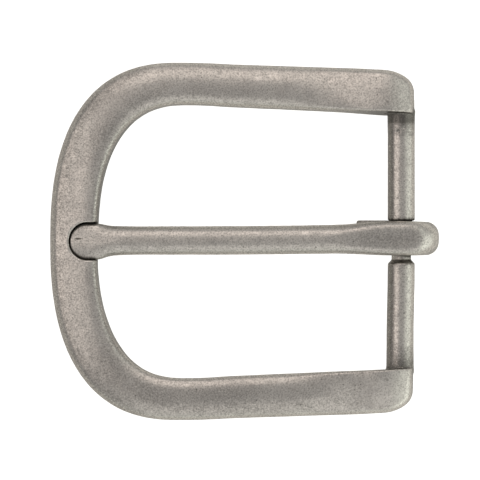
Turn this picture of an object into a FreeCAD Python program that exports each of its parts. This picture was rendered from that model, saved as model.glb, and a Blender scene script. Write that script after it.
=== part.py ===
"""Single-prong belt buckle for a 40 mm strap.

Two physical pieces:
  frame - one die casting: a D-shaped loop whose two arms end in ears, with the heel bar cast
          between the ears.  The bar has a thinner neck at its middle for the prong's eye, and the
          front rail has a pocket in its face for the prong's tip.
  prong - one casting, closed round the neck by bending its hook: tip, tapering arm, broad heel
          behind the bar, and a short tail that returns under the arm.

Frame of reference, in millimetres: the origin is the middle of the heel bar on its axis.  +Y runs
along the bar, +X points out of the heel end, away from the front rail, and +Z is the face that is
seen when the buckle is worn.  At rest the prong lies in its pocket, and the buckle lies on its
back on the plane z = BACK_Z.
"""

import FreeCAD, Part
import math
import os

V = FreeCAD.Vector

# ---- heel bar -------------------------------------------------------------------------------
STRAP_WIDTH = 40.0      # nominal strap
BAR_R = 2.15            # bar, where the strap's fold wraps it
NECK_R = 1.55           # neck inside the prong's eye
NECK_LOW, NECK_HIGH = -3.30, 3.38   # the neck's shoulders along Y
SHOULDER_LOW, SHOULDER_HIGH = 0.60, 0.12   # their chamfers
BAR_CLEAR_HALF = 20.20  # half of the clear width between the ears at the bar
ROOT = 0.55             # flare at each root of the bar

# ---- plan of the frame ----------------------------------------------------------------------
OUT_XC, OUT_A, OUT_B, OUT_N = -35.70, 20.56, 28.56, 2.455   # outer front curve, a superellipse
IN_XC, IN_A, IN_B, IN_N = -34.585, 14.005, 21.80, 2.447     # inner front curve
MID_XC, MID_A, MID_B, MID_N = -34.7, 17.60, 25.18, 2.48   # path of the sections
OUT_SLOPE = 0.0322      # the arms draw in towards the ears
IN_SLOPE = 0.0443
END_X = 2.20            # end plane of the ears, flush with the bar
CORNER_X, CORNER_Y = -4.20, 23.50                         # centre of the ears' rounded corner
CORNER_RX = END_X - CORNER_X
CORNER_RY = 3.97
EAR_FLARE = 0.22        # the ear's inner wall leans in towards the bar
WALL_LEAN = 0.50        # draft of the inner wall along the arms

# ---- heights --------------------------------------------------------------------------------
BACK_Z = -3.15          # the flat back
# the arms' back is arched clear of it: (x, height above it)
ARCH = [(-4.4, 0.0), (-8.0, 0.78), (-13.0, 1.38), (-19.0, 1.68), (-25.0, 1.76), (-31.0, 1.62), (-37.0, 1.20),
        (-42.5, 0.55), (-46.0, 0.0)]
END_ROLL = 3.20         # radius of the ear's top as it rolls over the end
# crown height along x
CROWN = [(-57.0, 0.15), (-54.0, 0.62), (-51.5, 1.05), (-48.0, 1.62), (-44.0, 2.08), (-38.0, 2.36),
         (-30.0, 2.46), (-20.0, 2.52), (-11.0, 2.62), (-7.0, 2.90), (-4.0, 3.28), (-1.5, 3.45),
         (6.0, 3.45)]

# ---- pocket in the front rail ---------------------------------------------------------------
POCKET_X = -50.10
POCKET_R = 3.05
POCKET_FLOOR = -0.55

# ---- prong ----------------------------------------------------------------------------------
EYE_R = 1.63            # the eye round the neck
PRONG_SIDE = 0.45       # the heel stands this far to +Y on the neck; the tip is in the middle
TIP_X = -53.00
TIP_R = 2.78
ARM_TOP = [(-53.0, 0.95), (-50.0, 1.60), (-47.0, 1.86), (-40.0, 2.38), (-30.0, 3.08), (-20.0, 3.76),
           (-12.0, 4.28), (-7.0, 4.54), (-3.0, 4.65), (0.0, 4.65)]
ARM_BACK = [(-53.0, -0.30), (-50.0, -0.44), (-45.0, -0.30), (-40.0, -0.06), (-30.0, 0.44),
            (-20.0, 0.94), (-12.0, 1.34), (-7.0, 1.56), (-4.0, 1.67), (0.0, 1.70)]
ARM_HALF = [(-53.0, 2.78), (-49.5, 2.78), (-48.0, 2.62), (-46.0, 2.46), (-43.5, 2.38), (-36.0, 2.36),
            (-20.0, 2.34), (-12.0, 2.38), (-8.0, 2.50), (-4.0, 2.66), (-1.0, 2.72), (0.0, 2.72)]
# tail, in side view, and its width
TAIL = [(-0.95, -2.40), (-1.90, -2.12), (-2.90, -1.58), (-3.95, -1.02), (-5.20, -0.55), (-6.45, -0.20),
        (-7.05, 0.12), (-7.18, 0.52), (-6.88, 0.92), (-6.15, 1.16), (-4.95, 1.26), (-3.65, 1.18),
        (-2.66, 0.82), (-2.02, 0.12), (-1.66, -0.62), (-1.25, -1.30), (-0.80, -1.92)]
TAIL_SIDE, TAIL_HALF, TAIL_EDGE = 0.80, 2.62, 0.32


def curve(points, x):
    """Monotone cubic through (x, value) points."""
    if x <= points[0][0]:
        return points[0][1]
    if x >= points[-1][0]:
        return points[-1][1]
    n = len(points)
    h = [points[i + 1][0] - points[i][0] for i in range(n - 1)]
    d = [(points[i + 1][1] - points[i][1]) / h[i] for i in range(n - 1)]
    m = [0.0] * n
    m[0], m[-1] = d[0], d[-1]
    for i in range(1, n - 1):
        if d[i - 1] * d[i] <= 0:
            m[i] = 0.0
        else:
            w1, w2 = 2 * h[i] + h[i - 1], h[i] + 2 * h[i - 1]
            m[i] = (w1 + w2) / (w1 / d[i - 1] + w2 / d[i])
    i = max(k for k in range(n - 1) if points[k][0] <= x)
    t = (x - points[i][0]) / h[i]
    a, b = points[i][1], points[i + 1][1]
    return (a * (1 + 2 * t) * (1 - t) ** 2 + h[i] * m[i] * t * (1 - t) ** 2
            + b * t * t * (3 - 2 * t) - h[i] * m[i + 1] * t * t * (1 - t))


def step(a, b, x):
    t = min(1.0, max(0.0, (x - a) / (b - a)))
    return t * t * (3 - 2 * t)


def half_out(x):
    if x >= OUT_XC:
        return OUT_B - OUT_SLOPE * (x - OUT_XC) * step(OUT_XC, OUT_XC + 9.0, x)
    u = (OUT_XC - x) / OUT_A
    return OUT_B * (1 - u ** OUT_N) ** (1 / OUT_N) if u < 1 else -1e-3 - (u - 1) * 50


def half_in(x):
    if x >= IN_XC:
        return IN_B - IN_SLOPE * (x - IN_XC) * step(IN_XC, IN_XC + 7.0, x)
    u = (IN_XC - x) / IN_A
    return IN_B * (1 - u ** IN_N) ** (1 / IN_N) if u < 1 else -1e-3 - (u - 1) * 50


def crossing(half, cx, cy, nx, ny, lo, hi):
    """Distance from (cx, cy) along (nx, ny) to the curve |y| = half(x)."""
    def f(d):
        x, y = cx + d * nx, cy + d * ny
        return abs(y) - half(x)
    a, b = lo, hi
    fa = f(a)
    for _ in range(60):
        m = (a + b) / 2
        fm = f(m)
        if (fm < 0) == (fa < 0):
            a, fa = m, fm
        else:
            b = m
    return (a + b) / 2


def stations():
    """(centre, outward normal in plan) from the -Y ear round the front to the +Y ear."""
    arm = [5.0, 3.4, 1.8, 0.2, -1.4, -3.0, -4.6, -6.4, -8.4, -10.8, -13.6, -16.8, -20.2, -23.6, -27.0, -30.2, -33.0]
    out = [((x, -25.0), (0.0, -1.0)) for x in arm]
    front = []
    turns = 30
    for i in range(turns + 1):
        # direction of the outward normal turns evenly from -Y through -X to +Y
        ang = math.radians(-90.0 - 180.0 * i / turns)
        nx, ny = math.cos(ang), math.sin(ang)
        # point of the path's superellipse with that normal
        p = 1.0 / (MID_N - 1.0)
        u = (abs(nx) * MID_A) ** p
        v = (abs(ny) * MID_B) ** p
        k = (u ** MID_N + v ** MID_N) ** (1.0 / MID_N)
        u, v = u / k, v / k
        front.append(((MID_XC - MID_A * u, math.copysign(MID_B * v, ny) if abs(ny) > 1e-9 else 0.0), (nx, ny)))
    out += front
    out += [((x, 25.0), (0.0, 1.0)) for x in reversed(arm)]
    return out


def frame_section(centre, normal):
    cx, cy = centre
    nx, ny = normal
    d_out = crossing(half_out, cx, cy, nx, ny, 0.0, 9.0)
    d_in = crossing(half_in, cx, cy, -nx, -ny, 0.0, 9.0)
    width = d_out + d_in
    ear = step(-11.0, -1.0, cx)
    back = BACK_Z
    lean = WALL_LEAN
    flare = EAR_FLARE * ear

    def pt(d, z):
        # d is measured inwards from the outer edge
        o = d_out - d
        return V(cx + nx * o, cy + ny * o, z)

    def crown_at(d):
        o = d_out - d
        return curve(CROWN, min(cx + nx * o, 5.0))

    w = width
    top = crown_at(0.62 * w)
    h = top - back

    def dome(d):
        # height above the back at distance d from the outer edge
        c = 0.62 * w
        if d < c:
            drop = 1.55 * ((c - d) / c) ** 2.3
        else:
            drop = 0.42 * ((d - c) / (w - c)) ** 2.2
        return crown_at(d) - drop

    # the walls run on below the back, which the side view then cuts flat
    pts = [pt(0.0, back - 1.0), pt(0.0, back), pt(0.0, back + 0.28 * h),
           pt(0.05, dome(0.0) - 0.75), pt(0.32, dome(0.32) - 0.34), pt(0.85, dome(0.85) - 0.07)]
    for s in (0.24, 0.38, 0.52, 0.64, 0.76):
        pts.append(pt(s * w, dome(s * w)))
    edge = w - lean - 0.30
    pts += [pt(edge - 0.25, dome(edge - 0.25) - 0.02), pt(edge + 0.14, dome(edge) - 0.20),
            pt(edge + 0.32, dome(edge) - 0.62),
            pt(w - lean * 0.50 + flare * 0.5, back + 0.50 * h), pt(w - lean * 0.12 + flare, back + 0.26 * h),
            pt(w + flare, back), pt(w + flare, back - 1.0)]
    return pts


def skin(rows, closed):
    """Solid lofted through rows of points, one row per section."""
    wires = []
    for row in rows:
        spline = Part.BSplineCurve()
        if closed:
            spline.interpolate(Points=row, PeriodicFlag=True)
            wires.append(Part.Wire([spline.toShape()]))
        else:
            spline.interpolate(row)
            wires.append(Part.Wire([spline.toShape(), Part.LineSegment(row[-1], row[0]).toShape()]))
    return Part.makeLoft(wires, True, False, False, 5)


def build_frame():
    loop = skin([frame_section(c, n) for c, n in stations()], False)
    # side view: ear's top rolls over its end, and its lower corner is rounded
    c = V(END_X - END_ROLL, 0, 3.50 - END_ROLL)
    far = 60.0
    q = math.sqrt(0.5)
    p0, p1 = V(c.x, 0, c.z + END_ROLL), V(END_X, 0, c.z)
    pm = V(c.x + END_ROLL * q, 0, c.z + END_ROLL * q)
    r2 = 0.9
    b0, b1 = V(END_X, 0, BACK_Z + r2), V(END_X - r2, 0, BACK_Z)
    bm = V(END_X - r2 + r2 * q, 0, BACK_Z + r2 - r2 * q)
    arch = Part.BSplineCurve()
    arch.interpolate([V(x, 0, BACK_Z + z) for x, z in ARCH])
    side = Part.Wire([
        Part.LineSegment(V(-80, 0, BACK_Z), V(-80, 0, 12)).toShape(),
        Part.LineSegment(V(-80, 0, 12), V(c.x, 0, 12)).toShape(),
        Part.LineSegment(V(c.x, 0, 12), p0).toShape(),
        Part.Arc(p0, pm, p1).toShape(),
        Part.LineSegment(p1, b0).toShape(),
        Part.Arc(b0, bm, b1).toShape(),
        Part.LineSegment(b1, V(ARCH[0][0], 0, BACK_Z)).toShape(),
        arch.toShape(),
        Part.LineSegment(V(ARCH[-1][0], 0, BACK_Z), V(-80, 0, BACK_Z)).toShape(),
    ])
    side_solid = Part.Face(side).extrude(V(0, 2 * far, 0))
    side_solid.translate(V(0, -far, 0))
    # plan view: rounded corner of each ear
    def ell(sign):
        e = Part.Ellipse(V(CORNER_X, sign * CORNER_Y, 0), CORNER_RX, CORNER_RY)
        if sign > 0:
            return Part.ArcOfEllipse(e, 0.0, math.pi / 2).toShape()
        return Part.ArcOfEllipse(e, -math.pi / 2, 0.0).toShape()
    top_y = CORNER_Y + CORNER_RY
    plan = Part.Wire(Part.__sortEdges__([
        Part.LineSegment(V(END_X, -CORNER_Y, 0), V(END_X, CORNER_Y, 0)).toShape(),
        ell(1),
        Part.LineSegment(V(CORNER_X, top_y, 0), V(CORNER_X, 40, 0)).toShape(),
        Part.LineSegment(V(CORNER_X, 40, 0), V(-80, 40, 0)).toShape(),
        Part.LineSegment(V(-80, 40, 0), V(-80, -40, 0)).toShape(),
        Part.LineSegment(V(-80, -40, 0), V(CORNER_X, -40, 0)).toShape(),
        Part.LineSegment(V(CORNER_X, -40, 0), V(CORNER_X, -top_y, 0)).toShape(),
        ell(-1),
    ]))
    plan_solid = Part.Face(plan).extrude(V(0, 0, 30))
    plan_solid.translate(V(0, 0, -15))
    print("loop", loop.isValid(), loop.Volume)
    body = loop.common(side_solid.common(plan_solid))
    print("body", body.isValid(), body.Volume)
    # pocket for the prong's tip
    pocket = Part.makeCylinder(POCKET_R, 12, V(POCKET_X, 0, POCKET_FLOOR), V(0, 0, 1))
    pocket = pocket.fuse(Part.makeBox(8.0, 2 * POCKET_R, 12, V(POCKET_X, -POCKET_R, POCKET_FLOOR)))
    pocket = pocket.removeSplitter()
    body = body.cut(pocket)
    # heel bar, turned profile about Y
    y3 = BAR_CLEAR_HALF
    pts = [V(0, -22.4, 0), V(0, -22.4, BAR_R + ROOT), V(0, -y3, BAR_R + ROOT * 0.55), V(0, -y3 + 0.35, BAR_R + 0.16),
           V(0, -y3 + 1.0, BAR_R), V(0, NECK_LOW, BAR_R),
           V(0, NECK_LOW + SHOULDER_LOW, NECK_R), V(0, NECK_HIGH - SHOULDER_HIGH, NECK_R),
           V(0, NECK_HIGH, BAR_R), V(0, y3 - 1.0, BAR_R), V(0, y3 - 0.35, BAR_R + 0.16),
           V(0, y3, BAR_R + ROOT * 0.55), V(0, 22.4, BAR_R + ROOT), V(0, 22.4, 0)]
    prof = Part.Wire(Part.makePolygon(pts + [pts[0]]))
    bar = Part.Face(prof).revolve(V(0, 0, 0), V(0, 1, 0), 360)
    keep = Part.makeBox(END_X + 3.2, 60, 6.2, V(-3.2, -30, -3.1))
    bar = bar.common(keep)
    return body.fuse(bar).removeSplitter()


def prong_section(a, b, half, y_mid, n_top, n_back, k=20):
    """Closed section between a (back side, a point in the XZ plane) and b (face side)."""
    mid = (a + b) * 0.5
    up = (b - a) * 0.5
    pts = []
    for i in range(k):
        t = 2 * math.pi * i / k - math.pi / 2
        c, s = math.cos(t), math.sin(t)
        n = n_top if s >= 0 else n_back
        yy = half * math.copysign(abs(c) ** (2.0 / n), c)
        zz = math.copysign(abs(s) ** (2.0 / n), s)
        p = mid + up * zz
        pts.append(V(p.x, y_mid + yy, p.z))
    return pts


def build_prong():
    secs = []

    def side(x):
        return PRONG_SIDE * (1.0 + x / 50.0) if x > -50 else 0.0

    # rounded tip
    for ang in (80.0, 62.0, 42.0, 20.0):
        s, c = math.sin(math.radians(ang)), math.cos(math.radians(ang))
        x = TIP_X + TIP_R - TIP_R * s
        zt, zb = curve(ARM_TOP, x), curve(ARM_BACK, x)
        zm = 0.45 * zt + 0.55 * zb
        f = c ** 0.55
        secs.append(prong_section(V(x, 0, zm + (zb - zm) * f), V(x, 0, zm + (zt - zm) * f),
                                  TIP_R * c, side(x), 2.2, 2.6))
    for x in (-50.0, -48.2, -46.2, -43.5, -39.0, -33.0, -26.0, -19.0, -14.0, -10.0, -7.0, -4.0, -1.6):
        g = step(-14.0, -3.0, x)
        secs.append(prong_section(V(x, 0, curve(ARM_BACK, x)), V(x, 0, curve(ARM_TOP, x)),
                                  curve(ARM_HALF, x), side(x), 2.25 + 0.75 * g, 2.8 + 0.7 * g))
    # heel and hook, sections fan out of the bar's axis; angle runs from the face round the heel
    bore = EYE_R - 0.10
    outer = [(0, 4.65), (20, 4.86), (40, 5.32), (62, 5.88), (90, 6.0), (115, 5.15), (140, 3.98),
             (160, 3.25), (180, 2.93), (202, 2.80), (222, 2.74)]
    for ang, r in outer:
        a = math.radians(ang)
        d = V(math.sin(a), 0, math.cos(a))
        half = 2.70 - 0.10 * step(30, 120, ang)
        end = 2.9 + 0.5 * step(40, 100, ang)
        secs.append(prong_section(d * bore, d * r, half, PRONG_SIDE + 0.06 * step(150, 222, ang), end, 3.6))
    arm = skin(secs, True)
    # tail, folded against the back of the arm and a little askew to +Y
    def outline(y, inset):
        pts = []
        for i, (x, z) in enumerate(TAIL):
            (xa, za), (xb, zb) = TAIL[i - 1], TAIL[(i + 1) % len(TAIL)]
            length = math.hypot(xb - xa, zb - za)
            pts.append(V(x + inset * (zb - za) / length, y, z - inset * (xb - xa) / length))
        line = Part.BSplineCurve()
        line.interpolate(Points=pts, PeriodicFlag=True)
        return Part.Wire([line.toShape()])

    lo, hi = TAIL_SIDE - TAIL_HALF, TAIL_SIDE + TAIL_HALF
    tail = Part.makeLoft([outline(lo, TAIL_EDGE), outline(lo + TAIL_EDGE, 0.0), outline(hi - TAIL_EDGE, 0.0),
                          outline(hi, TAIL_EDGE)], True, True)
    tail = tail.cut(Part.makeCylinder(BAR_R + 0.15, 2.0, V(0, NECK_HIGH - SHOULDER_HIGH - 0.06, 0), V(0, 1, 0)))
    prong = arm.fuse(tail)
    prong = prong.cut(Part.makeCylinder(EYE_R, 10.0, V(0, -5, 0), V(0, 1, 0)))
    print("arm", arm.isValid(), arm.Volume, "tail", tail.isValid(), tail.Volume)
    return prong


def main():
    os.makedirs("parts", exist_ok=True)
    frame = build_frame()
    prong = build_prong()
    for name, shape in (("frame", frame), ("prong", prong)):
        solids = shape.Solids
        print(name, "valid", shape.isValid(), "solids", len(solids), "volume", [round(s.Volume, 2) for s in solids],
              "faces", len(shape.Faces), "box", shape.BoundBox)
        shape = solids[0] if len(solids) == 1 else Part.makeCompound(solids)
        shape.exportStep("parts/%s.step" % name)
    print("tight boxes", frame.optimalBoundingBox(), prong.optimalBoundingBox())
    common = frame.common(prong)
    print("overlap at rest mm3", round(common.Volume, 4), "gap mm", round(frame.distToShape(prong)[0], 3))


main()
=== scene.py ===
"""Belt buckle: frame casting and hinged prong, built as implicit solids and meshed in numpy.

Lengths in the geometry section are millimetres, in the row frame; meshes are written in metres.
"""
import math

import bpy
import numpy as np
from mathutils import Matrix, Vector


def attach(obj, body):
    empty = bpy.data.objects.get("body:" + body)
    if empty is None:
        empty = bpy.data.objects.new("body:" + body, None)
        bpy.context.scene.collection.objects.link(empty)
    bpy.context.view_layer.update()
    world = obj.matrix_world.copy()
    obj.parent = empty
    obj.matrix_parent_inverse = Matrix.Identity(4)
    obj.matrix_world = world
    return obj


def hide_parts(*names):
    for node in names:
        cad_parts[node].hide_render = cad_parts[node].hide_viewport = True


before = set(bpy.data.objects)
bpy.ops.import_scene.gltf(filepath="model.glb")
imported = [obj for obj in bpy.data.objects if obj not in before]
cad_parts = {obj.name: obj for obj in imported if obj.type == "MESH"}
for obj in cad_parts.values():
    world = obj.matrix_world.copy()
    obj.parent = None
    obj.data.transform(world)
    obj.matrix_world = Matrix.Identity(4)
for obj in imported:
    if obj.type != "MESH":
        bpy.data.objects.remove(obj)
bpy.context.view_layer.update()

F = np.float64

# ------------------------------------------------------------------ dimensions (mm)
BAR_R, NECK_R = 2.16, 1.55
NECK_LOW, NECK_HIGH = -3.56, 3.38
OUT_XC, OUT_A, OUT_B, OUT_N, OUT_SLOPE = -35.70, 20.56, 28.56, 2.455, 0.0322
IN_XC, IN_A, IN_B, IN_N, IN_SLOPE = -34.585, 14.005, 21.80, 2.447, 0.0443
END_X = 2.20
CORNER_X, CORNER_Y, CORNER_RX, CORNER_RY, CORNER_N = -4.20, 23.50, 6.40, 3.98, 2.12
BACK_Z = -3.15
POCKET_X, POCKET_R, POCKET_FLOOR = -50.10, 3.05, -0.55
EYE_R = 1.63


def pchip(points):
    """Monotone cubic through the points, as a fast sampled lookup."""
    p = np.array(points, F)
    x, y = p[:, 0], p[:, 1]
    h = np.diff(x)
    d = np.diff(y) / h
    m = np.zeros(len(x))
    m[0], m[-1] = d[0], d[-1]
    for i in range(1, len(x) - 1):
        if d[i - 1] * d[i] > 0:
            w1, w2 = 2 * h[i] + h[i - 1], h[i] + 2 * h[i - 1]
            m[i] = (w1 + w2) / (w1 / d[i - 1] + w2 / d[i])
    xs = np.linspace(x[0], x[-1], 3001)
    i = np.clip(np.searchsorted(x, xs, side="right") - 1, 0, len(h) - 1)
    t = (xs - x[i]) / h[i]
    ys = (y[i] * (1 + 2 * t) * (1 - t) ** 2 + h[i] * m[i] * t * (1 - t) ** 2
          + y[i + 1] * t * t * (3 - 2 * t) - h[i] * m[i + 1] * t * t * (1 - t))
    return lambda v: np.interp(v, xs, ys)


def smooth(a, b, x):
    t = np.clip((x - a) / (b - a), 0.0, 1.0)
    return t * t * (3 - 2 * t)


def rmax(a, b, r):
    """Intersection of two solids with a true fillet of radius r on the edge between them."""
    u, v = np.maximum(a + r, 0.0), np.maximum(b + r, 0.0)
    return np.minimum(np.maximum(a, b), -r) + np.hypot(u, v)


def rmin(a, b, r):
    return -rmax(-a, -b, r)


def half_out(x):
    u = np.clip((OUT_XC - x) / OUT_A, 0.0, 1.0)
    front = OUT_B * np.maximum(1 - u ** OUT_N, 0.0) ** (1 / OUT_N)
    arm = OUT_B - OUT_SLOPE * (x - OUT_XC) * smooth(OUT_XC, OUT_XC + 9.0, x)
    return np.where(x < OUT_XC, np.where(x < OUT_XC - OUT_A, -1e-3, front), arm)


def half_in(x):
    u = np.clip((IN_XC - x) / IN_A, 0.0, 1.0)
    front = IN_B * np.maximum(1 - u ** IN_N, 0.0) ** (1 / IN_N)
    arm = IN_B - IN_SLOPE * (x - IN_XC) * smooth(IN_XC, IN_XC + 7.0, x)
    return np.where(x < IN_XC, np.where(x < IN_XC - IN_A, -1e-3, front), arm)


def polyline_distance(px, py, lx, ly, chunk=4000):
    """Unsigned distance of points to a polyline."""
    ax, ay, bx, by = lx[:-1], ly[:-1], lx[1:], ly[1:]
    dx, dy = bx - ax, by - ay
    l2 = np.maximum(dx * dx + dy * dy, 1e-12)
    out = np.empty(len(px))
    for s in range(0, len(px), chunk):
        qx, qy = px[s:s + chunk, None], py[s:s + chunk, None]
        t = np.clip(((qx - ax) * dx + (qy - ay) * dy) / l2, 0, 1)
        out[s:s + chunk] = np.sqrt(np.min((qx - ax - t * dx) ** 2 + (qy - ay - t * dy) ** 2, axis=1))
    return out


class Field:
    """A 2-D lookup table with bilinear sampling."""

    def __init__(self, x0, x1, y0, y1, step, fn):
        self.x0, self.y0, self.step = x0, y0, step
        xs, ys = np.arange(x0, x1 + step, step), np.arange(y0, y1 + step, step)
        gx, gy = np.meshgrid(xs, ys, indexing="ij")
        self.v = fn(gx.ravel(), gy.ravel()).reshape(gx.shape)

    def __call__(self, x, y):
        u = np.clip((x - self.x0) / self.step, 0, self.v.shape[0] - 1.001)
        w = np.clip((y - self.y0) / self.step, 0, self.v.shape[1] - 1.001)
        i, j = u.astype(np.int32), w.astype(np.int32)
        u, w = u - i, w - j
        v = self.v
        return ((v[i, j] * (1 - u) + v[i + 1, j] * u) * (1 - w)
                + (v[i, j + 1] * (1 - u) + v[i + 1, j + 1] * u) * w)


def plan_curve(xc, a, b, n, slope_fn, x_end):
    t = np.linspace(-0.5, math.pi / 2, 300)
    c, s = np.cos(t), np.sin(t)
    fx = xc - a * np.abs(c) ** (2 / n)
    fy = b * np.sign(s) * np.abs(s) ** (2 / n)
    ax = np.linspace(xc, x_end, 60)[1:]
    return np.concatenate([fx, ax]), np.concatenate([fy, slope_fn(ax)])


OX, OY = plan_curve(OUT_XC, OUT_A, OUT_B, OUT_N, half_out, 8.0)
IX, IY = plan_curve(IN_XC, IN_A, IN_B, IN_N, half_in, 8.0)
# signed distances in plan: positive inside the metal
D_OUT = Field(-58.5, 5.5, -0.3, 31.0, 0.16,
              lambda x, y: polyline_distance(x, y, OX, OY) * np.where(np.abs(y) < half_out(x), 1, -1))
D_IN = Field(-58.5, 5.5, -0.3, 31.0, 0.16,
             lambda x, y: polyline_distance(x, y, IX, IY) * np.where(np.abs(y) > half_in(x), 1, -1))

CROWN = pchip([(-57.0, 0.62), (-55.0, 0.99), (-53.0, 1.35), (-51.0, 1.67), (-49.0, 1.93), (-46.0, 2.17),
               (-42.0, 2.33), (-38.0, 2.41), (-30.0, 2.45), (-20.0, 2.47), (-13.0, 2.49), (-10.0, 2.55), (-8.0, 2.68),
               (-6.0, 3.03), (-4.4, 3.36), (-3.2, 3.47), (-2.2, 3.43), (-1.2, 3.26), (0.0, 2.93), (1.0, 2.54), (2.2, 2.00), (6.0, 0.3)])


def slope_table(points):
    """Height lost from the crown, from the slope of the surface across the section."""
    p = np.array(points, F)
    s = np.linspace(-0.3, 1.3, 1601)
    g = np.interp(s, p[:, 0], p[:, 1])
    h = np.concatenate([[0], np.cumsum((g[1:] + g[:-1]) / 2 * np.diff(s))])
    h -= h[np.argmin(np.abs(s - 0.61))]
    return (lambda v: np.interp(v, s, h)), (lambda v: np.interp(v, s, g))


# slope of the top across the section: s is 0 at the outer edge, 1 at the inner edge
ARM_H, ARM_G = slope_table([(-0.2, 0.95), (0.0, 0.85), (0.05, 0.74), (0.10, 0.56), (0.15, 0.43), (0.21, 0.345),
                            (0.28, 0.28), (0.35, 0.20), (0.42, 0.13), (0.49, 0.07), (0.56, 0.02), (0.63, -0.01),
                            (0.70, -0.09), (0.77, -0.22), (0.84, -0.36), (0.90, -0.46), (1.0, -0.52), (1.2, -0.55)])
RAIL_H, RAIL_G = slope_table([(-0.2, 0.50), (0.0, 0.36), (0.08, 0.20), (0.14, 0.09), (0.22, 0.03), (0.4, 0.0),
                              (0.7, 0.0), (0.84, -0.02), (0.92, -0.12), (1.0, -0.24), (1.2, -0.3)])
EAR_H, EAR_G = slope_table([(-0.2, 0.92), (0.0, 0.78), (0.05, 0.58), (0.12, 0.38), (0.20, 0.30), (0.50, 0.23), (0.78, 0.17),
                            (0.88, 0.08), (1.0, -0.06), (1.2, -0.1)])
ARCH = pchip([(-60.0, 0.0), (-46.5, 0.0), (-42.5, 0.50), (-37.0, 1.20), (-31.0, 1.62), (-25.0, 1.76), (-19.0, 1.68),
              (-13.0, 1.38), (-8.0, 0.78), (-4.2, 0.05), (-3.6, 0.0), (6.0, 0.0)])


def bar_radius(y):
    r = np.where(y < 0,
                 NECK_R + (BAR_R - NECK_R) * np.clip((-y - (-NECK_LOW - 0.62)) / 0.62, 0, 1),
                 NECK_R + (BAR_R - NECK_R) * np.clip((y - (NECK_HIGH - 0.14)) / 0.14, 0, 1))
    a = np.abs(y)
    return r + 0.04 * smooth(16.5, 19.6, a) + 0.12 * np.clip((a - 19.55) / 1.2, 0, 1) ** 2.0


def sdf_frame(x, y, z, detail=True):
    a = np.abs(y)
    do, di = D_OUT(x, a), D_IN(x, a) - 0.17 * smooth(0.5, -5.0, y) * smooth(-36.0, -44.0, x)
    w = np.maximum(do + di, 3.0)
    s = np.clip(do / w, -0.2, 1.2)
    ear = smooth(-12.0, -1.5, x)
    # domed top: long fall to the outer edge, short one to the inner edge; nearly flat across the rail
    rail = smooth(-43.5, -53.0, x)
    fall = smooth(-19.0, -8.0, x)
    arm_h, arm_g = ARM_H(s) * (1 - fall) + EAR_H(s) * fall, ARM_G(s) * (1 - fall) + EAR_G(s) * fall
    drop = -(arm_h * (1 - rail) + RAIL_H(s) * rail) * w * (1 - 0.25 * ear)
    slope = arm_g * (1 - rail) + RAIL_G(s) * rail
    top = CROWN(x) - drop
    cap = (z - top) / np.sqrt(1 + slope ** 2 + 0.03 + 0.18 * smooth(-1.5, 0.5, x))
    # plan outline with the ears' rounded corners
    ex, ey = np.maximum(x + 0.19 * smooth(-3.5, -16.0, y) - CORNER_X, 0) / CORNER_RX, np.maximum(a - CORNER_Y, 0) / CORNER_RY
    n = CORNER_N
    k = (ex ** n + ey ** n + 1e-12) ** (1 / n)
    grad = np.hypot(ex ** (n - 1) / CORNER_RX, ey ** (n - 1) / CORNER_RY) / k ** (n - 1) + 1e-9
    corner = np.where(x > CORNER_X, (k - 1) / grad, a - CORNER_Y - CORNER_RY - 0.12 * (CORNER_X - x))
    corner = np.clip(corner, -9.0, 9.0)
    plan = rmax(-do, corner, 0.3)
    # inner wall: leans back towards its top, thicker low down at the ear
    high = np.clip((z - BACK_Z) / 5.2, 0, 1.1)
    near = smooth(-2.0, 2.0, y)
    back = (1 - near) * smooth(-47.0, -38.0, x)
    wall = -(di - (0.06 + 0.16 * ear) * near * high ** 1.3 + (0.13 * ear * near - (0.22 + 0.16 * ear) * back) * (1 - high))
    edge = 0.66 + 0.85 * rail + 0.30 * ear
    # the ear's end rolls off over the bar
    shift = -0.19 * smooth(-3.5, -16.0, y)
    cap = rmax(cap, x - END_X - shift - 0.28, 0.3 + 1.3 * ear)
    f = rmax(plan, cap, edge)
    f = rmax(f, wall, 0.74 - 0.49 * ear - 0.22 * back * (1 - ear))
    f = rmax(f, BACK_Z + ARCH(x) - z, 0.42)
    # pocket for the tip
    px = np.minimum(x - POCKET_X, 0.0)
    well = np.hypot(px, y - 0.03) - POCKET_R
    pocket = rmax(well, POCKET_FLOOR - z, 0.45)
    f = rmax(f, -pocket, 0.09)
    # heel bar
    r = np.hypot(x - shift, z)
    bar = np.maximum(r - bar_radius(y) + 0.30 * smooth(20.7, 21.4, a), a - 22.4)
    f = rmin(f, bar, 0.22)
    f = rmax(f, x - END_X - shift - 0.02, 0.10)
    if detail:
        f = f + undulation(x, y, z, 0.007, 3.1) + undulation(y, z, x, 0.004, 1.15)
        for (cx, cy, cz, cr, depth) in FRAME_PITS:
            q = np.sqrt((x - cx) ** 2 + (y - cy) ** 2 + (z - cz) ** 2) / cr
            f = f + depth * np.exp(-q ** 4) - 0.35 * depth * np.exp(-((q - 1.35) / 0.35) ** 2)
    return f


def undulation(x, y, z, amp, scale):
    """Smooth tumbled unevenness: a few incommensurate waves."""
    k = 2 * math.pi / scale
    return amp * (np.sin(k * (0.83 * x + 0.41 * y) + 1.3 * np.sin(k * 0.37 * y + 0.7))
                  * np.sin(k * (0.62 * y - 0.55 * x) + 1.1 * np.sin(k * 0.43 * x + 2.1) + 0.9 * z)
                  + 0.5 * np.sin(k * (0.31 * x - 0.77 * y + 0.5 * z) + 4.2))


rng = np.random.default_rng(522)
FRAME_PITS = [(-0.62, 17.50, 2.08, 0.34, 0.19), (0.30, 18.10, 2.14, 0.22, 0.09), (-0.9, 19.4, 1.9, 0.3, 0.08)]

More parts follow.
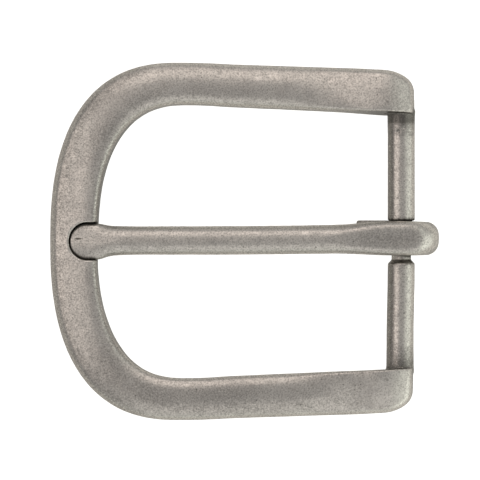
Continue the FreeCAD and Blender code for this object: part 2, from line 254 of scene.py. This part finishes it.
# ------------------------------------------------------------------ prong
ARM_TOP = [(-53.0, 0.98), (-51.0, 1.30), (-49.0, 1.62), (-47.0, 1.94), (-45.4, 2.13), (-43.0, 2.29), (-37.0, 2.66), (-30.0, 3.12), (-20.0, 3.76),
           (-12.0, 4.28), (-7.0, 4.54), (-3.0, 4.65), (0.0, 4.65)]
ARM_BACK = [(-53.0, -0.30), (-50.0, -0.44), (-45.0, -0.30), (-40.0, -0.06), (-30.0, 0.44),
            (-20.0, 0.94), (-12.0, 1.34), (-7.0, 1.56), (-4.0, 1.66), (0.0, 1.64)]
HEEL = [(0, 4.65), (20, 4.88), (40, 5.36), (62, 5.90), (78, 6.03), (92, 5.98), (115, 5.12), (140, 3.98),
        (160, 3.27), (180, 2.94), (202, 2.80), (222, 2.74), (240, 2.60)]
TAIL = [(-0.95, -2.40), (-1.90, -2.12), (-2.90, -1.58), (-3.95, -1.02), (-5.20, -0.55), (-6.45, -0.20),
        (-7.05, 0.12), (-7.18, 0.52), (-6.88, 0.92), (-6.15, 1.16), (-4.95, 1.26), (-3.65, 1.18),
        (-2.66, 0.82), (-2.02, 0.12), (-1.66, -0.62), (-1.25, -1.30), (-0.80, -1.92)]
HALF_UP = pchip([(-53.0, 2.86), (-49.5, 2.86), (-48.2, 2.82), (-46.8, 2.74), (-44.5, 2.67), (-40.0, 2.64), (-30.0, 2.63),
                 (-20.0, 2.65), (-14.0, 2.71), (-9.5, 2.80), (-6.5, 3.00), (-3.6, 3.20), (0.0, 3.24), (2.5, 3.16), (6.5, 3.05)])
HALF_DN = pchip([(-53.0, 2.94), (-49.5, 2.94), (-48.2, 2.86), (-46.8, 2.62), (-44.5, 2.44), (-40.0, 2.37), (-30.0, 2.33),
                 (-20.0, 2.21), (-14.0, 2.11), (-9.5, 2.06), (-6.5, 2.12), (-3.6, 2.20), (0.0, 2.24), (2.5, 2.22), (6.5, 2.10)])


def inside_polygon(px, py, lx, ly):
    c = np.zeros(len(px), bool)
    x1, y1 = lx[-1], ly[-1]
    for x2, y2 in zip(lx, ly):
        if y1 != y2:
            hit = ((y1 > py) != (y2 > py)) & (px < (x2 - x1) * (py - y1) / (y2 - y1) + x1)
            c ^= hit
        x1, y1 = x2, y2
    return c


def polygon_field(lx, ly, x0, x1, y0, y1, step):
    cx, cy = np.append(lx, lx[0]), np.append(ly, ly[0])
    return Field(x0, x1, y0, y1, step,
                 lambda x, y: polyline_distance(x, y, cx, cy) * np.where(inside_polygon(x, y, lx, ly), -1, 1))


def periodic(points, n):
    """Closed Catmull-Rom through the points."""
    p = np.array(points, F)
    out = []
    for i in range(len(p)):
        a, b, c, d = p[i - 1], p[i], p[(i + 1) % len(p)], p[(i + 2) % len(p)]
        for t in np.linspace(0, 1, n, endpoint=False):
            out.append(0.5 * (2 * b + (c - a) * t + (2 * a - 5 * b + 4 * c - d) * t * t
                              + (3 * b - a - 3 * c + d) * t ** 3))
    return np.array(out)


_xs = np.linspace(-53.0, 0.0, 110)
_top, _back = pchip(ARM_TOP), pchip(ARM_BACK)
_ang = np.linspace(0, 240, 90)
_rad = pchip(HEEL)(_ang)
_lx = np.concatenate([_xs[:-1], _rad * np.sin(np.radians(_ang)), [-1.1, -0.6], _xs[::-1]])
_lz = np.concatenate([_top(_xs[:-1]), _rad * np.cos(np.radians(_ang)), [-0.6, 0.2], _back(_xs[::-1])])
P_ARM = polygon_field(_lx, _lz, -54.5, 7.5, -4.5, 6.5, 0.1)
_t = periodic(TAIL, 6)
P_TAIL = polygon_field(_t[:, 0], _t[:, 1], -8.6, 1.0, -4.0, 2.6, 0.06)


def sdf_prong(x, y, z, detail=True):
    yc = 0.0
    # plan: pointed widths towards the tip, wider on +Y at the heel
    up, dn = y - HALF_UP(x), -y - HALF_DN(x)
    side = np.maximum(up, dn)
    tip = np.hypot(x + 50.20, y + 0.05) - 2.91
    side = np.where(x < -50.2, tip, np.where(x < -48.0, np.maximum(side, -9), side))
    heel = smooth(-11.0, -2.0, x)
    low = smooth(0.5, -1.5, z) * smooth(-8.0, -4.0, x) * smooth(3.4, 1.0, x)
    mid = (HALF_UP(x) - HALF_DN(x)) / 2
    # domed across its width
    dome = 0.155 - 0.085 * smooth(-46.0, -50.0, x) - 0.045 * heel
    f = P_ARM(x, z) + dome * (y - mid) ** 2 * smooth(-0.4, 1.2, z)
    r = 1.02 + 0.10 * smooth(-49.0, -44.0, x) - 0.46 * heel - 0.10 * low
    r = r - 0.60 * smooth(-46.0, -49.0, x) + 1.20 * smooth(2.0, 5.0, x)
    f = rmax(f, side, r)
    # flame-shaped flat on the heel
    f = rmax(f, z - (4.36 + 0.003 * (-2.0 - x)), 0.14)
    # eye
    eye = EYE_R - np.hypot(x, z)
    f = rmax(f, eye, 0.14)
    # tail
    tside = np.abs(y - 0.76) - 2.60
    tail = rmax(P_TAIL(x, z), tside, 0.36)
    tail = np.maximum(tail, np.where(y > 3.20, 2.32 - np.hypot(x, z), -3.0))
    tail = rmax(tail, eye, 0.14)
    f = rmin(f, tail, 0.16)
    if detail:
        f = f + undulation(x + 7.0, y, z, 0.006, 2.7) + undulation(y, z, x + 3.0, 0.003, 1.0)
        ring = np.hypot(x - 4.65, y - 0.20) / 0.60
        f = f + np.where(z > 0, 0.022 * np.exp(-((ring - 1.0) / 0.26) ** 2), 0.0)
    return f


# ------------------------------------------------------------------ meshing
def surface_nets(fn, lo, hi, step):
    lo, hi = np.array(lo, F), np.array(hi, F)
    n = np.ceil((hi - lo) / step).astype(int) + 1
    ax = [lo[i] + step * np.arange(n[i]) for i in range(3)]
    vol = np.empty(tuple(n), np.float32)
    gy, gz = np.meshgrid(ax[1], ax[2], indexing="ij")
    for s in range(0, n[0], 24):
        e = min(n[0], s + 24)
        gx = np.repeat(ax[0][s:e], gy.size)
        vol[s:e] = fn(gx, np.tile(gy.ravel(), e - s), np.tile(gz.ravel(), e - s)).reshape(e - s, n[1], n[2])
    inside = vol < 0
    count = sum(inside[i:n[0] - 1 + i, j:n[1] - 1 + j, k:n[2] - 1 + k].astype(np.int8)
                for i in (0, 1) for j in (0, 1) for k in (0, 1))
    act = (count > 0) & (count < 8)
    index = -np.ones(act.shape, np.int64)
    cells = np.argwhere(act)
    index[act] = np.arange(len(cells))
    corner = {}
    for i in (0, 1):
        for j in (0, 1):
            for k in (0, 1):
                corner[(i, j, k)] = vol[cells[:, 0] + i, cells[:, 1] + j, cells[:, 2] + k].astype(F)
    acc, num = np.zeros((len(cells), 3)), np.zeros(len(cells))
    for a in corner:
        for d in range(3):
            if a[d] == 0:
                b = list(a); b[d] = 1; b = tuple(b)
                fa, fb = corner[a], corner[b]
                hit = (fa < 0) != (fb < 0)
                t = np.where(hit, fa / np.where(hit, fa - fb, 1.0), 0.0)
                p = np.tile(np.array(a, F), (len(cells), 1))
                p[:, d] += t
                acc[hit] += p[hit]
                num += hit
    verts = lo + step * (cells + acc / num[:, None])
    quads = []
    for d in range(3):
        u, v = (d + 1) % 3, (d + 2) % 3
        sl_a, sl_b = [slice(None)] * 3, [slice(None)] * 3
        sl_a[d], sl_b[d] = slice(0, n[d] - 1), slice(1, n[d])
        change = inside[tuple(sl_a)] != inside[tuple(sl_b)]
        e = np.argwhere(change)
        e = e[(e[:, u] > 0) & (e[:, v] > 0) & (e[:, u] < n[u] - 1) & (e[:, v] < n[v] - 1)]
        flip = inside[tuple(sl_a)][e[:, 0], e[:, 1], e[:, 2]]
        def cell(du, dv):
            c = e.copy(); c[:, u] -= du; c[:, v] -= dv
            return index[c[:, 0], c[:, 1], c[:, 2]]
        q = np.stack([cell(1, 1), cell(0, 1), cell(0, 0), cell(1, 0)], 1)
        q[~flip] = q[~flip][:, ::-1]
        quads.append(q)
    return verts, np.concatenate(quads)


def gradient(fn, p, h=0.02):
    g = np.empty_like(p)
    for d in range(3):
        a, b = p.copy(), p.copy()
        a[:, d] -= h; b[:, d] += h
        g[:, d] = (fn(*b.T) - fn(*a.T)) / (2 * h)
    return g


def project(fn, p, times, limit):
    for _ in range(times):
        g = gradient(fn, p)
        f = fn(*p.T)
        step = np.clip(f / np.maximum((g * g).sum(1), 0.05), -limit, limit)
        p = p - g * step[:, None]
    return p


def relax(fn, p, q, rounds, limit):
    n = len(p)
    e = np.concatenate([q[:, [0, 1]], q[:, [1, 2]], q[:, [2, 3]], q[:, [3, 0]]])
    deg = np.bincount(e[:, 0], minlength=n) + np.bincount(e[:, 1], minlength=n)
    for _ in range(rounds):
        s = np.stack([np.bincount(e[:, 0], p[e[:, 1], d], n) + np.bincount(e[:, 1], p[e[:, 0], d], n)
                      for d in range(3)], 1) / deg[:, None]
        m = s - p
        g = gradient(fn, p)
        g /= np.maximum(np.linalg.norm(g, axis=1, keepdims=True), 1e-9)
        m -= g * (m * g).sum(1)[:, None]
        p = p + 0.5 * m
        p = project(fn, p, 1, limit)
    return project(fn, p, 2, limit)


def union_rest(x, y, z):
    return np.minimum(sdf_frame(x, y, z, False), sdf_prong(x, y, z, False))


def dark_finish_and_painted_shade(x, y, z):
    """Darkening put into the colour: darker patches at the corners, a painted dark reflection along the arms' crowns,
    small dark spots near the bar's ends, darker along the front rail's outer edge, painted shade along its inner edge
    and on the bar's sheltered side, and bar roots darkened by dark finish and painted shade.
    """
    t = np.zeros(len(x))
    # darker patches at the corners, and a painted dark reflection along the arms' crowns
    for cx, cy, rx, ry, ang, a in ((-46.4, -20.4, 6.0, 2.6, -52, 1.0), (-39.5, -24.4, 6.0, 2.2, -22, 1.0),
                                   (-29.0, -24.6, 10.0, 1.9, 2, 0.95), (-17.0, -24.3, 8.0, 1.6, 3, 0.55),
                                   (-47.6, 16.8, 4.6, 2.2, 52, 0.85), (-41.0, 22.6, 5.5, 1.7, 28, 0.65),
                                   (-30.0, 23.9, 9.0, 1.5, -1, 0.60), (-52.6, -8.5, 2.6, 1.2, -75, 0.35),
                                   (-27.0, -26.3, 14.0, 1.1, 2, 1.15), (-48.5, -22.0, 5.5, 1.6, -50, 0.95)):
        c, s_ = math.cos(math.radians(ang)), math.sin(math.radians(ang))
        u, v = ((x - cx) * c + (y - cy) * s_) / rx, (-(x - cx) * s_ + (y - cy) * c) / ry
        t = np.maximum(t, 0.62 * a * np.exp(-(u * u + v * v)))
    # small dark spots near the bar's ends
    for cx, cy, r in ((-2.6, -22.0, 0.30), (-2.4, 22.1, 0.26), (-6.4, -20.9, 0.22)):
        t = np.maximum(t, 1.5 * np.exp(-((x - cx) ** 2 + (y - cy) ** 2) / r ** 2))
    # darker along the front rail's outer edge; painted shade along its inner edge
    t = np.maximum(t, 0.82 * smooth(3.8, 0.3, D_OUT(x, np.abs(y))) * smooth(-36.0, -46.0, x))
    t = np.maximum(t, 0.75 * smooth(1.2, 0.5, D_IN(x, np.abs(y))) * smooth(-42.0, -46.0, x))
    bar = smooth(21.8, 21.0, np.abs(y)) * smooth(3.0, 3.4, np.abs(y))
    bar = bar * smooth(2.80, 2.55, np.hypot(x + 0.19 * smooth(-3.5, -16.0, y), z))
    # painted shade on the bar's side that faces the window
    t = np.maximum(t, bar * smooth(-0.95, -1.45, x) * 1.7)
    # bar roots darker: dark finish left where polishing can't reach, and painted shade
    t = np.maximum(t, bar * smooth(15.8, 18.4, np.abs(y)) * 1.30)
    t = np.maximum(t, bar * smooth(17.6, 19.2, np.abs(y)) * np.where(y > 0, 2.2, 1.86))
    # darker next to the prong's eye
    t = np.maximum(t, bar * smooth(4.6, 3.3, np.abs(y)) * 0.7)
    return t


def make_piece(name, fn, lo, hi, step, body, node):
    v, q = surface_nets(fn, lo, hi, step)
    v = project(fn, v, 3, step * 0.6)
    v = relax(fn, v, q, 4, step * 0.4)
    g = gradient(fn, v)
    nrm = g / np.maximum(np.linalg.norm(g, axis=1, keepdims=True), 1e-9)
    # how closed in each point is, counting both parts at rest, and how much it stands out on an edge
    closed = np.zeros(len(v))
    for h, wgt in ((0.35, 0.35), (0.8, 0.35), (1.8, 0.30)):
        closed += wgt * np.clip(1 - union_rest(*(v + nrm * h).T) / h, 0, 1)
    edge = np.zeros(len(v))
    for h, wgt in ((0.30, 0.5), (0.7, 0.5)):
        edge += wgt * np.clip(1 + fn(*(v - nrm * h).T) / h, 0, 1)
    mesh = bpy.data.meshes.new(name)
    mesh.vertices.add(len(v))
    mesh.vertices.foreach_set("co", (v / 1000.0).astype(np.float32).ravel())
    mesh.loops.add(q.size)
    mesh.loops.foreach_set("vertex_index", q.astype(np.int32).ravel())
    mesh.polygons.add(len(q))
    mesh.polygons.foreach_set("loop_start", (np.arange(len(q)) * 4).astype(np.int32))
    mesh.polygons.foreach_set("loop_total", np.full(len(q), 4, np.int32))
    mesh.update(calc_edges=True)
    mesh.validate()
    mesh.polygons.foreach_set("use_smooth", np.ones(len(mesh.polygons), bool))
    # steep sides; below they are darkened as painted shade
    wall = smooth(0.46, 0.16, np.abs(nrm[:, 2]))
    if node == "frame":
        inward = np.where(v[:, 0] < -40.0, nrm[:, 0], -nrm[:, 1] * np.sign(v[:, 1]))
        inner = wall * smooth(0.2, 0.6, inward)
        inner_wall_shade = smooth(-9.0, -4.0, v[:, 0]) + smooth(-40.0, -44.0, v[:, 0]) * (0.75 + 0.30 * smooth(0.0, 3.0, v[:, 1]))
        # painted shade: every steep wall darker, and more on the inner walls of the ears and the front rail
        shade_and_finish_mask = np.maximum(dark_finish_and_painted_shade(*v.T), 1.35 * wall + 0.60 * inner * inner_wall_shade)
        # painted shadow on the front rail's inner wall beside the prong, on the +Y side
        shade = smooth(0.80, 0.45, np.abs(nrm[:, 2])) * smooth(0.2, 0.6, nrm[:, 0]) * smooth(-41.0, -44.0, v[:, 0])
        shade *= smooth(2.4, 3.2, v[:, 1]) * smooth(17.0, 10.0, v[:, 1]) * smooth(2.05, 1.75, v[:, 2])
        shade_and_finish_mask = np.maximum(shade_and_finish_mask, 1.75 * shade)
    else:
        # painted dark reflection on the heel's flat, and a smaller darker patch further along the heel
        u, w = (v[:, 0] + 2.4) / 5.6, (v[:, 1] - 0.35) / 1.35
        shade_and_finish_mask = 0.62 * np.exp(-(u * u + w * w)) * smooth(3.6, 1.4, v[:, 0]) + 0.20 * np.exp(-((v[:, 0] - 1.9) / 0.9) ** 2 - ((v[:, 1] - 1.0) / 1.0) ** 2)
        # painted shadow on the tail where it shows beside the arm
        tail_shadow = smooth(2.75, 3.0, v[:, 1]) * smooth(2.0, 1.4, v[:, 2]) * smooth(-1.6, -2.4, v[:, 0]) * smooth(-12.0, -8.0, v[:, 0])
        # kept to the top, with painted shade on every steep side
        shade_and_finish_mask = np.maximum.reduce([shade_and_finish_mask * smooth(1.0, 3.0, v[:, 2]), 1.25 * wall, 1.7 * tail_shadow])
    # painted highlight: the ears' ends and the heel made brighter, added to the edge wear
    x, y = v[:, 0], v[:, 1]
    if node == "frame":
        painted_highlight = 0.36 * smooth(21.5, 22.5, np.abs(y)) * np.where(y < 0, smooth(-10.0, -5.0, x), smooth(-2.5, -0.5, x))
    else:
        painted_highlight = 0.36 * smooth(2.4, 3.6, x)
    edge = edge + painted_highlight * smooth(1.2, 2.2, v[:, 2])
    for key, val in (("cavity", closed), ("edge", edge), ("dark_finish_and_painted_shade", shade_and_finish_mask)):
        at = mesh.attributes.new(key, "FLOAT", "POINT")
        at.data.foreach_set("value", val.astype(np.float32))
    mesh.update()
    ob = bpy.data.objects.new(name, mesh)
    bpy.context.scene.collection.objects.link(ob)
    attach(ob, body)
    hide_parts(node)
    print(name, "verts", len(v), "quads", len(q), "box", v.min(0).round(2), v.max(0).round(2))
    return ob


# ------------------------------------------------------------------ material
def metal(name, seed, base, dark, light, grime_and_shade_colour, rough, patina_and_shade_amount, nick):
    mat = bpy.data.materials.new(name)
    mat.use_nodes = True
    nt = mat.node_tree
    nt.nodes.clear()
    N, L = nt.nodes.new, nt.links.new
    out = N("ShaderNodeOutputMaterial")
    bsdf = N("ShaderNodeBsdfPrincipled")
    L(bsdf.outputs[0], out.inputs[0])
    bsdf.inputs["Metallic"].default_value = 1.0
    bsdf.inputs["IOR"].default_value = 1.5
    tc = N("ShaderNodeTexCoord")
    mp = N("ShaderNodeMapping")
    mp.inputs["Scale"].default_value = (1000, 1000, 1000)
    mp.inputs["Location"].default_value = (seed * 3.1, seed * 1.7, seed * 0.9)
    L(tc.outputs["Object"], mp.inputs["Vector"])
    P = mp.outputs[0]

    def noise(scale, detail=3.0, rough_=0.55, dist=0.0):
        n = N("ShaderNodeTexNoise")
        n.inputs["Scale"].default_value = scale
        n.inputs["Detail"].default_value = detail
        n.inputs["Roughness"].default_value = rough_
        n.inputs["Distortion"].default_value = dist
        L(P, n.inputs["Vector"])
        return n.outputs["Fac"]

    def ramp(src, a, b, va=0.0, vb=1.0):
        m = N("ShaderNodeMapRange")
        m.interpolation_type = "SMOOTHSTEP"
        m.inputs["From Min"].default_value = a
        m.inputs["From Max"].default_value = b
        m.inputs["To Min"].default_value = va
        m.inputs["To Max"].default_value = vb
        L(src, m.inputs["Value"])
        return m.outputs[0]

    def math_(op, a, b):
        m = N("ShaderNodeMath")
        m.operation = op
        for i, s in enumerate((a, b)):
            if isinstance(s, (int, float)):
                m.inputs[i].default_value = s
            else:
                L(s, m.inputs[i])
        return m.outputs[0]

    def mix(fac, a, b):
        m = N("ShaderNodeMix")
        m.data_type = "RGBA"
        for i, s in ((0, fac), (6, a), (7, b)):
            if isinstance(s, (int, float)):
                m.inputs[i].default_value = s
            elif isinstance(s, tuple):
                m.inputs[i].default_value = (*s, 1.0)
            else:
                L(s, m.inputs[i])
        return m.outputs[2]

    cav = N("ShaderNodeAttribute"); cav.attribute_name = "cavity"
    edg = N("ShaderNodeAttribute"); edg.attribute_name = "edge"
    cloud = noise(0.16, 4.0, 0.6, 0.4)      # broad tarnish, several mm
    blotch = noise(0.75, 4.0, 0.62, 0.3)    # mottling, about a millimetre
    grain = noise(3.9, 2.0, 0.6)            # speckle
    fine = noise(8.0, 2.0, 0.6)
    shade_and_finish_attr = N("ShaderNodeAttribute"); shade_and_finish_attr.attribute_name = "dark_finish_and_painted_shade"
    col = mix(ramp(cloud, 0.25, 0.75), dark, light)
    col = mix(math_("MULTIPLY", ramp(blotch, 0.40, 0.66), 0.55), col, base)
    # left-over dark finish mixed with painted shade on the walls and the bar's sheltered side and a painted dark
    # reflection on the crowns and the prong's heel flat, broken up by the mottling
    dark_finish_and_shade = math_("MULTIPLY", ramp(math_("ADD", shade_and_finish_attr.outputs["Fac"], math_("MULTIPLY", blotch, 0.9)), 0.42, 1.30), 0.50)
    dark_finish_and_shade = math_("ADD", dark_finish_and_shade, ramp(shade_and_finish_attr.outputs["Fac"], 1.0, 1.65, 0.0, 0.34))
    col = mix(dark_finish_and_shade, col, tuple(c * 0.50 for c in dark))
    # more painted shade where the darkening is strongest: steep walls, the rail's inner wall, the bar's sheltered side
    # and roots, the tail beside the prong's arm
    soot_and_painted_shade = math_("MULTIPLY", ramp(shade_and_finish_attr.outputs["Fac"], 1.05, 1.80), ramp(blotch, 0.34, 0.58, 0.95, 0.35))
    col = mix(soot_and_painted_shade, col, tuple(c * 1.6 for c in grime_and_shade_colour))
    more = math_("ADD", 0.62, math_("MULTIPLY", dark_finish_and_shade, 0.7))
    col = mix(math_("MULTIPLY", ramp(grain, 0.47, 0.66), more), col, tuple(c * 0.52 for c in dark))
    col = mix(math_("MULTIPLY", ramp(grain, 0.47, 0.30), 0.55), col, tuple(min(1, c * 1.22) for c in light))
    col = mix(math_("MULTIPLY", ramp(fine, 0.52, 0.68), 0.35), col, tuple(min(1, c * 1.25) for c in light))
    # painted shade, darkest on the ears' and the front rail's inner walls; the bar's roots get dark finish and painted
    # shade here
    col = mix(ramp(shade_and_finish_attr.outputs["Fac"], 1.72, 2.15, 0.0, 0.62), col, grime_and_shade_colour)
    # sparse pits with dark bottoms
    vor = N("ShaderNodeTexVoronoi")
    vor.feature = "F1"
    vor.inputs["Scale"].default_value = 1.15
    vor.inputs["Randomness"].default_value = 1.0
    L(P, vor.inputs["Vector"])
    sep = N("ShaderNodeSeparateColor"); L(vor.outputs["Color"], sep.inputs[0])
    rare = ramp(sep.outputs[0], 0.66, 0.78)
    size = ramp(sep.outputs[1], 0.0, 1.0, 0.05, 0.15)
    pit = N("ShaderNodeMath"); pit.operation = "LESS_THAN"
    L(vor.outputs["Distance"], pit.inputs[0]); L(size, pit.inputs[1])
    spots = math_("MULTIPLY", pit.outputs[0], rare)
    col = mix(math_("MULTIPLY", spots, 0.75), col, tuple(c * 0.30 for c in dark))
    # darkened where closed in: patina in the hollows, and painted shade where the other part closes in; rubbed bright
    # on edges, with a painted highlight on the ears' ends and the heel
    patina_and_shade = math_("MULTIPLY", ramp(cav.outputs["Fac"], 0.16, 0.62), ramp(blotch, 0.25, 0.60, 0.72 * patina_and_shade_amount, patina_and_shade_amount))
    col = mix(patina_and_shade, col, grime_and_shade_colour)
    wear_and_painted_highlight = math_("MULTIPLY", ramp(edg.outputs["Fac"], 0.22, 0.60), ramp(blotch, 0.30, 0.62, 1.0, 0.45))
    col = mix(math_("MULTIPLY", wear_and_painted_highlight, 0.38), col, tuple(min(1, c * 1.30) for c in light))
    if nick is not None:
        # one small scratch: centre (mm), half length, half width
        nm = N("ShaderNodeMapping")
        nm.inputs["Scale"].default_value = (1000 / nick[2], 1000 / nick[3], 0)
        nm.inputs["Location"].default_value = (-nick[0] / nick[2], -nick[1] / nick[3], 0)
        L(tc.outputs["Object"], nm.inputs["Vector"])
        ln = N("ShaderNodeVectorMath"); ln.operation = "LENGTH"
        L(nm.outputs[0], ln.inputs[0])
        mark = math_("MULTIPLY", ramp(ln.outputs["Value"], 1.15, 0.55), ramp(grain, 0.30, 0.42, 0.65, 1.0))
        col = mix(mark, col, grime_and_shade_colour)
    L(col, bsdf.inputs["Base Color"])
    r = math_("ADD", ramp(blotch, 0.3, 0.7, rough - 0.05, rough + 0.07), ramp(grain, 0.4, 0.7, -0.02, 0.07))
    r = math_("ADD", r, math_("MULTIPLY", patina_and_shade, 0.22))
    r = math_("SUBTRACT", r, math_("MULTIPLY", wear_and_painted_highlight, 0.06))
    L(r, bsdf.inputs["Roughness"])
    # bump: orange-peel, grain, pits
    h = math_("MULTIPLY", blotch, 0.030)
    h = math_("ADD", h, math_("MULTIPLY", grain, 0.0085))
    h = math_("ADD", h, math_("MULTIPLY", fine, 0.0020))
    h = math_("SUBTRACT", h, math_("MULTIPLY", spots, 0.020))
    bump = N("ShaderNodeBump")
    bump.inputs["Strength"].default_value = 0.8
    bump.inputs["Distance"].default_value = 0.001
    L(h, bump.inputs["Height"])
    L(bump.outputs[0], bsdf.inputs["Normal"])
    return mat


FRAME_MAT = metal("frame_antique_nickel", 1.0, (0.645, 0.618, 0.578), (0.575, 0.545, 0.51), (0.71, 0.68, 0.635),
                  (0.10, 0.095, 0.085), 0.36, 1.0, None)
PRONG_MAT = metal("prong_antique_nickel", 5.0, (0.645, 0.62, 0.58), (0.575, 0.55, 0.515), (0.715, 0.685, 0.64),
                  (0.11, 0.105, 0.092), 0.36, 0.50, (-51.60, 0.42, 0.64, 0.17))

frame_piece = make_piece("frame_casting", sdf_frame, (-57.4, -29.6, -3.9), (3.3, 29.6, 4.3), 0.232,
                         "frame_body", "frame")
frame_piece.data.materials.append(FRAME_MAT)
prong_piece = make_piece("prong_casting", sdf_prong, (-53.9, -3.6, -3.9), (7.0, 4.2, 5.6), 0.125,
                         "prong_body", "prong")
prong_piece.data.materials.append(PRONG_MAT)

# ------------------------------------------------------------------ floor, light, camera
fm = bpy.data.materials.new("floor_white")
fm.use_nodes = True
nt = fm.node_tree
nt.nodes.clear()
out = nt.nodes.new("ShaderNodeOutputMaterial")
dif = nt.nodes.new("ShaderNodeBsdfDiffuse")
dif.inputs[0].default_value = (0.74, 0.735, 0.70, 1)
emi = nt.nodes.new("ShaderNodeEmission")
emi.inputs[0].default_value = (1, 1, 1, 1)
emi.inputs[1].default_value = 0.90
seen = nt.nodes.new("ShaderNodeAddShader")
nt.links.new(dif.outputs[0], seen.inputs[0])
nt.links.new(emi.outputs[0], seen.inputs[1])
lp = nt.nodes.new("ShaderNodeLightPath")
pick = nt.nodes.new("ShaderNodeMixShader")
nt.links.new(lp.outputs["Is Camera Ray"], pick.inputs[0])
low = nt.nodes.new("ShaderNodeEmission")
low.inputs[0].default_value = (1.0, 0.985, 0.955, 1)
low.inputs[1].default_value = 0.19
glow = nt.nodes.new("ShaderNodeAddShader")
nt.links.new(dif.outputs[0], glow.inputs[0])
nt.links.new(low.outputs[0], glow.inputs[1])
nt.links.new(glow.outputs[0], pick.inputs[1])
nt.links.new(seen.outputs[0], pick.inputs[2])
nt.links.new(pick.outputs[0], out.inputs[0])
S = 2.0
z0 = (BACK_Z - 0.02) / 1000.0
me = bpy.data.meshes.new("floor")
me.from_pydata([(-S, -S, z0), (S, -S, z0), (S, S, z0), (-S, S, z0)], [], [(0, 1, 2, 3)])
floor = bpy.data.objects.new("floor", me)
me.materials.append(fm)
bpy.context.scene.collection.objects.link(floor)

world = bpy.data.worlds.new("studio")
bpy.context.scene.world = world
world.use_nodes = True
world.node_tree.nodes["Background"].inputs[0].default_value = (1.0, 0.98, 0.97, 1)
world.node_tree.nodes["Background"].inputs[1].default_value = 0.355

CENTRE = Vector((-0.0258, 0.0002, 0.0))


def area(name, direction, dist, sx, sy, power, color):
    d = bpy.data.lights.new(name, "AREA")
    d.shape = "RECTANGLE"
    d.size, d.size_y = sx, sy
    d.energy = power
    d.color = color
    ob = bpy.data.objects.new(name, d)
    v = Vector(direction).normalized()
    ob.location = CENTRE + v * dist
    ob.rotation_euler = (-v).to_track_quat("-Z", "Y").to_euler()
    bpy.context.scene.collection.objects.link(ob)
    return ob


area("key_top", (-0.10, 0.92, 1.10), 0.60, 0.50, 0.26, 0.38, (1.0, 0.89, 0.82))
area("key_left", (-0.92, 0.05, 0.95), 0.60, 0.26, 0.50, 0.38, (1.0, 0.89, 0.82))
area("soft_low", (0.10, -0.86, 1.02), 0.60, 0.50, 0.24, 0.20, (1.0, 0.97, 0.92))
area("fill_green", (0.95, -0.42, 0.22), 0.65, 0.90, 0.50, 1.02, (0.95, 1.0, 0.90))
area("fill_mid", (0.95, 0.06, 0.84), 0.62, 1.15, 0.34, 0.47, (0.95, 1.0, 0.90))
area("fill_front", (-0.15, -0.97, 0.25), 0.65, 0.90, 0.40, 0.45, (0.96, 1.0, 0.91))
area("fill_back", (-0.15, 0.97, 0.25), 0.65, 0.90, 0.40, 0.15, (1.0, 0.94, 0.88))

cam = bpy.data.cameras.new("camera")
cam.sensor_width = 36.0
cam.lens = 36.0 * 0.40 / 0.0768
cam.clip_start, cam.clip_end = 0.01, 10.0
co = bpy.data.objects.new("camera", cam)
co.location = (CENTRE.x, 0.00022, 0.40)
co.rotation_euler = (0, 0, 0)
bpy.context.scene.collection.objects.link(co)
bpy.context.scene.camera = co
bpy.context.scene.view_settings.view_transform = "Standard"
bpy.context.scene.view_settings.look = "None"
